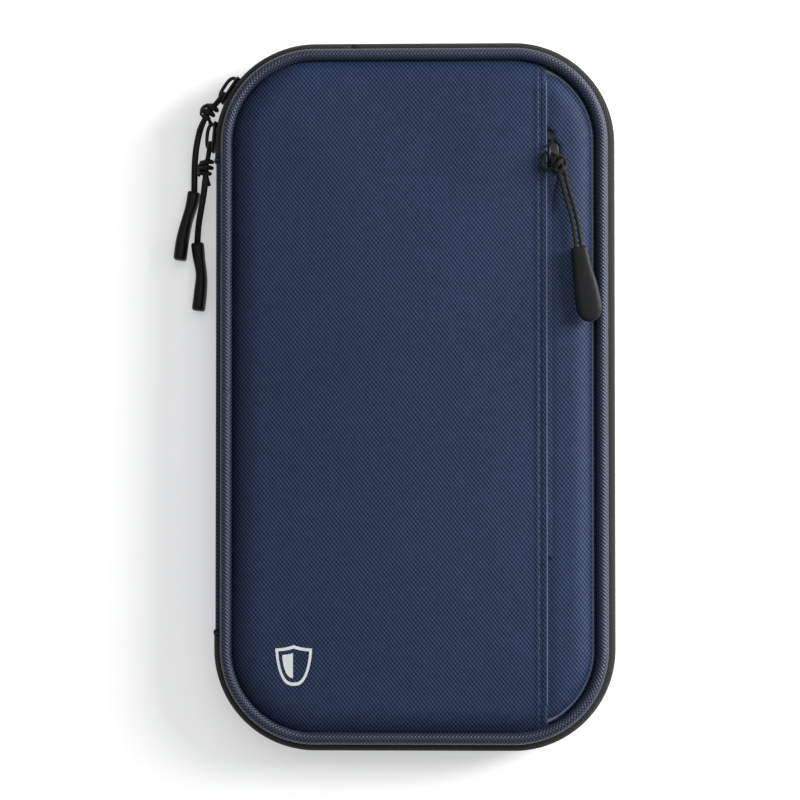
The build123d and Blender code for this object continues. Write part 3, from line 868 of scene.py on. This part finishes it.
def slider_parts(seat, out, along, across, sizes):
    """Two plates, nose post, side flanges and crown of a zip slider."""
    parts = []
    low, low_thick, high, high_thick = sizes["plates"]
    wide, length = sizes["wide"], sizes["length"]
    for level, thick, narrow in ((low, low_thick, sizes["low_wide"]), (high, high_thick, wide)):
        centre = seat + out * (level + thick / 2)
        parts.append(rounded_block_parts(centre, along, across, (length, narrow, thick), 0.25, 3.6))
    nose = seat - along * (length / 2 - 1.3)
    tall = high - low - 0.1
    centre = nose + out * (low + 0.1 + tall / 2)
    parts.append(rounded_block_parts(centre, along, across, (2.2, sizes["post"], tall), 0.1, 3))
    for sign in (-1, 1):
        rail = seat + across * sign * sizes["rail_across"] + out * sizes["rail_level"]
        rail_size = (length - 3.4, sizes["rail"], sizes["rail_tall"])
        parts.append(rounded_block_parts(rail, along, across, rail_size, 0.15, 5))
    parts.append(arch_parts(seat, out, along, across, high + high_thick - 0.35, *sizes["crown"]))
    return parts


MAIN_SLIDER = {
    "plates": (0.2, 0.8, 4.65, 0.8), "wide": 8.6, "low_wide": 7.8, "length": 11.0, "post": 1.0,
    "rail": 0.7, "rail_tall": 2.0, "rail_across": 3.55, "rail_level": 1.9,
    "crown": (8.2, 10.0, 1.25, 1.3),
}
for letter, angle in (("a", radians(32.8)), ("b", radians(5.0))):
    out = Vector((-cos(angle), sin(angle), 0))
    seat = Vector((-CORNER_X, CORNER_Y, THICK / 2)) + out * CORNER
    parts = slider_parts(seat, out, UP.cross(out), UP, MAIN_SLIDER)
    slider = outward(make_mesh(f"main_slider_{letter}_metal", *join_parts(parts)))
    dress(slider, f"main_slider_{letter}", "black_metal", metal_black, f"main_slider_{letter}_body")

SMALL_SLIDER = {
    "plates": (0.0, 0.6, 1.75, 0.6), "wide": 6.4, "low_wide": 6.0, "length": 8.2, "post": 0.8,
    "rail": 0.5, "rail_tall": 0.3, "rail_across": 2.95, "rail_level": 1.7,
    "crown": (6.85, 7.0, 0.9, 1.0),
}
pocket_low, pocket_high = mm_box("pocket_slider_body")
pocket_seat = Vector(((pocket_low.x + pocket_high.x) / 2, SLIDER_Y, pocket_low.z))
parts = slider_parts(pocket_seat, UP, -NORTH, EAST, SMALL_SLIDER)
pocket_slider = outward(make_mesh("pocket_slider_metal", *join_parts(parts)))
dress(pocket_slider, "pocket_slider", "black_metal", metal_black, "pocket_slider_body")

coin_low, coin_high = mm_box("coin_slider_body")
coin_seat = Vector(((coin_low.x + coin_high.x) / 2, (coin_low.y + coin_high.y) / 2, coin_high.z))
coin_sizes = dict(SMALL_SLIDER, crown=(coin_high.z - coin_low.z, 6.0, 0.7, 1.0))
parts = slider_parts(coin_seat, -UP, EAST, NORTH, coin_sizes)
coin_slider = outward(make_mesh("coin_slider_metal", *join_parts(parts)))
dress(coin_slider, "coin_slider", "black_metal", metal_black, "coin_slider_body")


# ---------------------------------------------------------------- cords, knots and grips
CORD_R = 0.65
GAP = 0.72
BIGHT = 1.95
LEG_OUT, LEG_ALONG = 6.27, 3.95


def cord_curve(name, points, material):
    """Smooth cord with the route's points as its control points."""
    data = bpy.data.curves.new(name, "CURVE")
    data.dimensions = "3D"
    spline = data.splines.new("NURBS")
    spline.points.add(len(points) - 1)
    for slot, (x, y, z) in zip(spline.points, points):
        slot.co = (x * MM, y * MM, z * MM, 1)
    spline.order_u = 3
    spline.use_endpoint_u = True
    spline.resolution_u = 12
    data.bevel_depth = CORD_R * MM
    data.bevel_resolution = 4
    data.use_fill_caps = True
    piece = bpy.data.objects.new(name, data)
    bpy.context.scene.collection.objects.link(piece)
    data.materials.append(material)
    return piece


def curve_length(piece):
    data = piece.data.copy()
    data.bevel_depth = 0
    holder = bpy.data.objects.new("measure", data)
    bpy.context.scene.collection.objects.link(holder)
    mesh = bpy.data.meshes.new_from_object(holder.evaluated_get(bpy.context.evaluated_depsgraph_get()))
    places = [v.co.copy() for v in mesh.vertices]
    bpy.data.objects.remove(holder)
    return sum((b - a).length for a, b in zip(places, places[1:]))


def knot_parts(centre, axis, length, wide, turns=2.6):
    """Barrel knot: cord wound round the pair, with a crossing strand over it."""
    axis = Vector(axis).normalized()
    side = axis.orthogonal().normalized()
    rise = axis.cross(side)
    centre = Vector(centre)
    wind = []
    steps = int(turns * 18)
    for i in range(steps + 1):
        t = i / steps
        angle = 2 * pi * turns * t + 0.6
        reach = (wide / 2 - CORD_R) * (0.82 + 0.18 * sin(pi * t))
        turned = (side * cos(angle) + rise * sin(angle)) * reach
        wind.append(centre + axis * (t - 0.5) * (length - 2 * CORD_R) + turned)
    cross = []
    for i in range(13):
        t = i / 12
        angle = -1.9 + 2.6 * t
        reach = wide / 2 - CORD_R * 0.55
        turned = (side * cos(angle) + rise * sin(angle)) * reach
        cross.append(centre + axis * (0.5 - t) * (length - CORD_R) + turned)
    radii = [CORD_R * (0.6 + 0.4 * sin(pi * i / 12) ** 0.5) for i in range(13)]
    return [tube_parts(wind, CORD_R, 10), tube_parts(cross, radii, 10)]


def tail_parts(start, way, length, flare=1.25):
    """Cut and melted cord end: a short stub that widens to a bead."""
    start, way = Vector(start), Vector(way).normalized()
    shares = [0, 0.3, 0.6, 0.78, 0.9, 0.97, 1.0]
    sizes = [0.9, 0.92, 0.98, 1.1, flare, flare * 0.9, flare * 0.45]
    bend = Vector((0.15, 0.0, -0.35))
    points = [start + way * length * t + bend * length * t * t * 0.4 for t in shares]
    return tube_parts(points, [CORD_R * size * 0.95 for size in sizes], 12)


def grip_parts(path, sizes, sides=28):
    """Moulded grip lofted along a path; sizes gives (across, tall) at each point, across level."""
    points = [Vector(p) for p in path]
    rings, count = [], len(points)
    for i, point in enumerate(points):
        tangent = (points[min(i + 1, count - 1)] - points[max(i - 1, 0)]).normalized()
        side = tangent.cross(Vector((0, 0, 1))).normalized()
        rise = side.cross(tangent).normalized()
        across, tall = sizes[i]
        for k in range(sides):
            angle = 2 * pi * k / sides
            c, s = cos(angle), sin(angle)
            x = np.sign(c) * abs(c) ** 0.62 * across / 2
            z = np.sign(s) * abs(s) ** 0.62 * tall / 2
            rings.append(tuple(point + side * x + rise * z))
    faces = []
    for i in range(count - 1):
        for k in range(sides):
            m = (k + 1) % sides
            faces.append([i * sides + k, (i + 1) * sides + k, (i + 1) * sides + m, i * sides + m])
    faces.append(list(range(sides))[::-1])
    faces.append([(count - 1) * sides + k for k in range(sides)])
    return rings, faces


def smooth_path(points, count):
    """Points on a Catmull-Rom curve through a few given points."""
    points = [Vector(p) for p in points]
    ends = [points[0] * 2 - points[1]] + points + [points[-1] * 2 - points[-2]]
    made = []
    for i in range(count):
        t = i / (count - 1) * (len(points) - 1)
        k = min(int(t), len(points) - 2)
        u = t - k
        a, b, c, d = ends[k:k + 4]
        made.append(0.5 * ((2 * b) + (c - a) * u + (2 * a - 5 * b + 4 * c - d) * u * u
                           + (3 * b - a - 3 * c + d) * u ** 3))
    return made


def end_rounding(t, reach=0.035, least=0.8):
    """Scale that rounds off both cut ends of a grip."""
    edge = min(t, 1 - t) / reach
    return 1.0 if edge >= 1 else least + (1 - least) * sqrt(max(0.0, 1 - (1 - edge) ** 2))


THICK_GRIP, NARROW, WIDE = 4.1, 6.2, 8.8


def standing_grip(name, plan, body, node):
    """Grip on edge: S-curved in plan, its lower edge on the table."""
    path = smooth_path([(x, y, 0) for x, y in plan], 60)
    places, sizes = [], []
    for i, point in enumerate(path):
        t = i / 59
        tall = NARROW + (WIDE - NARROW) * smooth(t * 1.15)
        scale = end_rounding(t)
        waist = 1.06 - 0.16 * np.exp(-((t - 0.45) / 0.22) ** 2)
        places.append(Vector((point.x, point.y, tall / 2)))
        sizes.append((THICK_GRIP * scale * waist, tall * scale))
    grip = outward(make_mesh(name, *grip_parts(places, sizes)))
    return dress(grip, body, "black_rubber", rubber_black, node)


MAIN_PULLS = {
    "a": {
        "angle": 32.8, "knot": (-70.3, 97.5, 12.6),
        "pair": [
            (-72.4, 94.2, 12.3), (-74.1, 89.4, 11.4), (-75.5, 83.0, 8.4), (-76.1, 76.2, 4.8),
            (-76.3, 70.8, 3.2),
        ],
        "grip": [(-76.3, 70.8), (-77.2, 66.0), (-78.8, 60.4), (-80.2, 54.0), (-81.1, 47.2)],
        "tails": [
            ((-71.4, 96.2, 13.6), (-1.05, -2.0, -0.1), 6.6),
            ((-70.6, 95.4, 12.0), (0.3, -1.0, -0.2), 2.2),
        ],
    },
    "b": {
        "angle": 5.0, "knot": (-71.3, 78.4, 12.6),
        "pair": [
            (-71.6, 74.4, 12.2), (-72.2, 69.4, 11.1), (-73.6, 63.5, 8.0), (-74.9, 57.8, 4.5),
            (-75.2, 53.2, 3.2),
        ],
        "grip": [(-75.2, 53.2), (-74.6, 48.0), (-73.7, 42.0), (-74.0, 36.0), (-74.7, 29.8)],
        "tails": [
            ((-71.1, 76.6, 13.4), (0.12, -1.0, 0.0), 4.8),
            ((-72.4, 77.0, 12.0), (-1.0, -0.7, 0.0), 2.4),
        ],
    },
}
SLANT = GAP * cos(radians(45))
for letter, pull in MAIN_PULLS.items():
    angle = radians(pull["angle"])
    out = Vector((-cos(angle), sin(angle), 0))
    down = UP.cross(out)
    leg = Vector((-CORNER_X, CORNER_Y, THICK / 2)) + out * (CORNER + LEG_OUT) + down * LEG_ALONG
    knot = Vector(pull["knot"])
    back = Vector((knot.x - leg.x, knot.y - leg.y, 0)).normalized()
    bight = []
    for place, lift in (
        (leg + back * 4.4, GAP), (leg + back * 2.4, BIGHT), (leg - down * BIGHT, BIGHT),
        (leg - down * BIGHT, -BIGHT), (leg + back * 2.4, -BIGHT), (leg + back * 4.4, -GAP),
    ):
        bight.append((place.x, place.y, leg.z + lift))
    first = [(x + SLANT, y, z + SLANT) for x, y, z in pull["pair"]]
    second = [(x - SLANT, y, z - SLANT) for x, y, z in pull["pair"]]
    route = first[::-1] + bight + second
    body = f"main_pull_{letter}"
    cord = cord_curve(f"main_pull_{letter}_cord_loop", route, cord_black)
    dress(cord, body, "black_cord", cord_black, f"main_pull_{letter}_cord")
    wraps = knot_parts(knot, back, 6.6, 5.4)
    wraps += [tail_parts(*tail) for tail in pull["tails"]]
    wound = make_mesh(f"main_pull_{letter}_knot_wraps", *join_parts(wraps))
    dress(wound, body, "black_cord", cord_black, f"main_pull_{letter}_knot")
    grip_node = f"main_pull_{letter}_grip"
    grip = standing_grip(f"{grip_node}_moulded", pull["grip"], body, grip_node)
    curve_length(cord)

POCKET_LOOP = [(47.6, 81.2, 27.1), (43.6, 81.4, 27.1), (43.3, 75.8, 27.1), (46.8, 75.2, 27.3)]
POCKET_PAIR = [
    (50.2, 74.0, 27.8), (51.0, 70.0, 27.2), (53.2, 62.5, 27.3), (54.8, 55.6, 27.8), (55.5, 49.2, 28.0)
]
HITCH = Vector((49.1, 76.7, 28.3))
POCKET_GAP = 0.86
right = [(x + POCKET_GAP, y + 0.2, z) for x, y, z in POCKET_PAIR]
left = [(x - POCKET_GAP, y - 0.2, z) for x, y, z in POCKET_PAIR]
route = right[::-1] + [(49.6, 78.2, 28.3)] + POCKET_LOOP + left
pocket_cord = cord_curve("pocket_pull_cord_loop", route, cord_black)
dress(pocket_cord, "pocket_pull", "black_cord", cord_black, "pocket_pull_cord")
hitch_parts = knot_parts(HITCH, (0.45, -1, 0), 5.4, 4.5, 1.7)
ring = []
for i in range(25):
    angle = radians(-70 + 250 * i / 24)
    turned = Vector((2.3 * cos(angle), 2.9 * sin(angle), 0.35 * sin(angle * 1.5)))
    ring.append(Vector((49.0, 77.0, 28.1)) + turned)
hitch_parts.append(tube_parts(ring, CORD_R * 0.95, 10))
hitch = make_mesh("pocket_pull_hitch_wraps", *join_parts(hitch_parts))
dress(hitch, "pocket_pull", "black_cord", cord_black, "pocket_pull_hitch")

grip_line = [(55.5, 49.4, 28.0), (56.7, 42.0, 27.95), (58.1, 34.5, 27.95), (59.7, 24.3, 28.0)]
path = smooth_path(grip_line, 70)
sizes = []
for i in range(70):
    t = i / 69
    across = 5.7 + 2.9 * smooth(t * 1.15)
    foot = max(0.0, (t - 0.84) / 0.16)
    round_end = sqrt(max(0.0, 1 - foot ** 2))
    top = end_rounding(min(t, 0.5))
    sizes.append((max(across * round_end, 0.6) * top, 3.5 * top * (0.45 + 0.55 * round_end ** 0.5)))
pocket_grip = outward(make_mesh("pocket_pull_grip_moulded", *grip_parts(path, sizes)))
dress(pocket_grip, "pocket_pull", "black_rubber", rubber_black, "pocket_pull_grip")
curve_length(pocket_cord)

# ---------------------------------------------------------------- generic printed shield
shield_x, shield_y, shield_w, shield_h = -40.2, -90.8, 12.4, 13.6


def shield_edge(scale):
    """Outline of a plain shield, clockwise from its top middle."""
    half, tall = shield_w / 2 * scale, shield_h * scale
    top = [(half * t, tall * (0.42 + 0.08 * (1 - t) ** 2)) for t in np.linspace(0, 1, 9)]
    side = []
    for t in np.linspace(0.08, 1, 20):
        turn = pi / 2 * t
        side.append((half * cos(turn) ** 0.75, tall * (0.42 - 0.92 * sin(turn) ** 1.25)))
    right_half = top + side
    return right_half + [(-x, y) for x, y in right_half[-2:0:-1]]


def shield_parts(outline, hole=None):
    points, faces = [], []
    rings = [outline] + ([hole] if hole else [])
    for ring_points in rings:
        for x, y in ring_points:
            px, py = shield_x + x, shield_y + y
            points.append((px, py, crown(px, py) + 0.06))
    count = len(outline)
    if hole:
        for k in range(count):
            m = (k + 1) % count
            faces.append([k, m, count + m, count + k])
    else:
        faces.append(list(range(count)))
    base = len(points)
    points += [(x, y, z - 0.10) for x, y, z in points]
    faces += [[i + base for i in face][::-1] for face in faces]
    for ring_start in range(0, base, count):
        for k in range(count):
            m = (k + 1) % count
            faces.append([ring_start + k, ring_start + m, base + ring_start + m, base + ring_start + k])
    return points, faces


inner = shield_edge(0.62)
left_half = [(min(x, -0.25), y) for x, y in inner]
shield = outward(make_mesh(
    "front_shield_print",
    *join_parts([shield_parts(shield_edge(1.0), shield_edge(0.84)), shield_parts(left_half)]),
    smooth_shade=False,
))
dress(shield, "front_half", "navy_fabric", print_white)


# ---------------------------------------------------------------- inside
def pocket_leaf(node, facing, material, hem=6.0):
    """Pocket leaf: a flat cloth with a folded, stitched top hem. facing is +1 or -1 along Z."""
    low, high = mm_box(node)
    near, away = (high.z, low.z) if facing > 0 else (low.z, high.z)
    columns, points = 30, []
    rows = [0, 0.3, 1, 3, hem - 0.9, hem - 0.45, hem, 9, 14] + list(np.linspace(20, high.y - low.y, 16))
    for sheet in (near, away):
        for row in rows:
            y = high.y - row
            for k in range(columns + 1):
                x = low.x + (high.x - low.x) * k / columns
                z = sheet
                if sheet == near:
                    if row > hem - 0.5:
                        z -= facing * 0.14
                    z -= facing * (0.16 if row == 0 else 0)
                    z -= facing * 0.05 * (1 + sin(k * 0.7 + row * 0.12))
                points.append((x, y, z))
    width, count, faces = columns + 1, len(rows) * (columns + 1), []
    for i in range(len(rows) - 1):
        for k in range(columns):
            a = i * width + k
            faces.append([a, a + 1, a + width + 1, a + width])
            faces.append([a + count, a + width + count, a + width + 1 + count, a + 1 + count])
        for k in (0, columns):
            a = i * width + k
            faces.append([a, a + width, a + width + count, a + count])
    for k in range(columns):
        for row in (0, len(rows) - 1):
            a = row * width + k
            faces.append([a, a + 1, a + 1 + count, a + count])
    body = "back_half" if facing > 0 else "front_half"
    leaf = dress(outward(make_mesh(f"{node}_cloth", points, faces)), body, "grey_lining", material, node)
    hem_y = high.y - hem + 1.1
    line = [(x, hem_y, near) for x in np.linspace(low.x + 1.5, high.x - 1.5, 60)]
    row = stitch_row(f"{node}_stitches", line, body, thread_grey, "grey_lining", 2.0, 0.7, 0.17)


for number in (1, 2, 3):
    pocket_leaf(f"passport_pocket_{number}", 1, leaf_grey)
for number in range(1, 6):
    pocket_leaf(f"card_slot_{number}", -1, leaf_grey, 4.0)

# Coin pocket: net of crossing threads in a bound frame
net_low, net_high = mm_box("coin_pocket_mesh")
net_z = net_low.z + 0.35
threads = []
step = 2.4
span_x, span_y = net_high.x - net_low.x - 6, net_high.y - net_low.y - 5
for sign in (1, -1):
    offset = -span_y
    while offset < span_x:
        ends = []
        x0, x1 = max(0.0, offset), min(span_x, offset + span_y)
        if x1 - x0 > 1.5:
            y0, y1 = x0 - offset, x1 - offset
            if sign < 0:
                y0, y1 = span_y - y0, span_y - y1
            count = max(2, int((x1 - x0) / 1.2))
            line = []
            for i in range(count + 1):
                t = i / count
                weave = 0.12 * (1 if i % 2 else -1) * sign
                x, y = net_low.x + 3 + x0 + (x1 - x0) * t, net_low.y + 3 + y0 + (y1 - y0) * t
                line.append((x, y, net_z + weave))
            threads.append(tube_parts(line, 0.2, 4))
        offset += step
net = make_mesh("coin_pocket_net", *join_parts(threads))
dress(net, "front_half", "black_mesh", mesh_black, "coin_pocket_mesh")
TRIM_WIDE, TRIM_THICK = 3.2, 1.7
frame_parts = []
for x in (net_low.x + TRIM_WIDE / 2, net_high.x - TRIM_WIDE / 2):
    centre = Vector((x, (net_low.y + net_high.y) / 2, net_low.z + TRIM_THICK / 2))
    size = (TRIM_WIDE, net_high.y - net_low.y, TRIM_THICK)
    frame_parts.append(rounded_block_parts(centre, EAST, NORTH, size, 0.4, 12, 48))
centre = Vector((0, net_low.y + TRIM_WIDE / 2, net_low.z + TRIM_THICK / 2))
size = (net_high.x - net_low.x, TRIM_WIDE, TRIM_THICK)
frame_parts.append(rounded_block_parts(centre, EAST, NORTH, size, 0.4, 12, 48))
net_frame = outward(make_mesh("coin_pocket_binding", *join_parts(frame_parts)))
dress(net_frame, "front_half", "black_tape", binding_black)

# Pen loop: ribbed elastic band
loop_low, loop_high = mm_box("pen_loop")
half_x, half_z = (loop_high.x - loop_low.x) / 2, (loop_high.z - loop_low.z) / 2
centre_x, centre_z = (loop_high.x + loop_low.x) / 2, (loop_high.z + loop_low.z) / 2
loop_points, loop_faces = [], []
sides = 40
ribs = np.linspace(loop_low.y, loop_high.y, 40)
for shrink in (0.05, 0.85):
    for j, y in enumerate(ribs):
        for k in range(sides):
            angle = 2 * pi * k / sides
            c, s = cos(angle), sin(angle)
            rib = 0.10 * (j % 2) if shrink < 0.5 else 0
            x = np.sign(c) * abs(c) ** 0.8 * (half_x - shrink - rib)
            z = np.sign(s) * abs(s) ** 0.8 * (half_z - shrink - rib)
            loop_points.append((centre_x + x, y, centre_z + z))
layer = len(ribs) * sides
for j in range(len(ribs) - 1):
    for k in range(sides):
        m = (k + 1) % sides
        loop_faces.append([j * sides + k, (j + 1) * sides + k, (j + 1) * sides + m, j * sides + m])
        loop_faces.append([layer + j * sides + k, layer + j * sides + m, layer + (j + 1) * sides + m,
                           layer + (j + 1) * sides + k])
for row in (0, len(ribs) - 1):
    for k in range(sides):
        m = (k + 1) % sides
        a, b = row * sides + k, row * sides + m
        loop_faces.append([a, b, layer + b, layer + a])
pen_loop = outward(make_mesh("pen_loop_elastic", loop_points, loop_faces))
dress(pen_loop, "back_half", "elastic", elastic_black, "pen_loop")

# CAD nodes whose shape is right keep it, with a better material
for node, material in (
    ("back_lining", lining_grey), ("front_lining", lining_grey), ("spine_lining", lining_grey),
    ("back_board", board_grey), ("front_board", board_grey),
    ("spine_board", board_grey), ("back_shield_foil", foil_grey), ("front_shield_foil", foil_grey),
    ("back_piping_filler", board_grey), ("front_piping_filler", board_grey),
    ("pocket_zip_tapes", binding_black), ("pocket_zip_coils", coil_black),
    ("pocket_zip_stops", metal_black),
    ("coin_zip_tapes", binding_black), ("coin_zip_coils", coil_black), ("coin_pull_tab", metal_black),
):
    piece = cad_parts[node]
    piece.data.materials.clear()
    piece.data.materials.append(material)

# ---------------------------------------------------------------- floor, light and camera
FLOOR = 1500
floor_corners = [(-FLOOR, -FLOOR, 0), (FLOOR, -FLOOR, 0), (FLOOR, FLOOR, 0), (-FLOOR, FLOOR, 0)]
floor = make_mesh("floor", floor_corners, [[0, 1, 2, 3]])
pale = moulded("pale_floor", (0.86, 0.86, 0.86), (0.90, 0.90, 0.90), 0.8, 400, 0.00001, 0.2)
floor.data.materials.append(pale)
pale_shader = pale.node_tree.nodes["Principled BSDF"]
pale_shader.inputs["Emission Color"].default_value = (1, 1, 1, 1)
pale_shader.inputs["Emission Strength"].default_value = 0.40


def area_light(name, place, target, size, energy, colour=(1, 1, 1)):
    data = bpy.data.lights.new(name, "AREA")
    data.shape = "RECTANGLE"
    data.size, data.size_y = size
    data.energy = energy
    data.color = colour
    lamp = bpy.data.objects.new(name, data)
    lamp.location = place
    lamp.rotation_euler = (Vector(target) - Vector(place)).to_track_quat("-Z", "Y").to_euler()
    bpy.context.scene.collection.objects.link(lamp)


area_light("key_right", (1.15, 0.42, 0.50), (0, 0, 0.02), (0.5, 1.1), 30.0, (1.0, 0.99, 0.98))
area_light("soft_above", (0.25, 0.35, 1.3), (0, 0, 0.02), (1.0, 1.0), 4.0)
world = bpy.data.worlds.new("soft_room")
world.use_nodes = True
world.node_tree.nodes["Background"].inputs[0].default_value = (0.95, 0.97, 1.0, 1)
world.node_tree.nodes["Background"].inputs[1].default_value = 0.28
bpy.context.scene.world = world

camera_data = bpy.data.cameras.new("camera")
camera_data.sensor_width = 36
camera_distance, view_width = 1.1, 0.2684
camera_data.lens = camera_data.sensor_width * (camera_distance - THICK / 2 * MM) / view_width
camera_data.clip_end = 10
camera = bpy.data.objects.new("camera", camera_data)
elevation = radians(88)
target = Vector((-0.0050, -0.0013, THICK / 2 * MM))
camera_lean = 0.04  # the camera stands a little to the right
camera.location = target + Vector((camera_lean, -cos(elevation), sin(elevation))) * camera_distance
forward = (target - camera.location).normalized()
rightward = forward.cross(Vector((0, 1, 0))).normalized()
camera.rotation_euler = Matrix((rightward, rightward.cross(forward), -forward)).transposed().to_euler()
bpy.context.scene.collection.objects.link(camera)
bpy.context.scene.camera = camera
bpy.context.scene.view_settings.view_transform = "Standard"
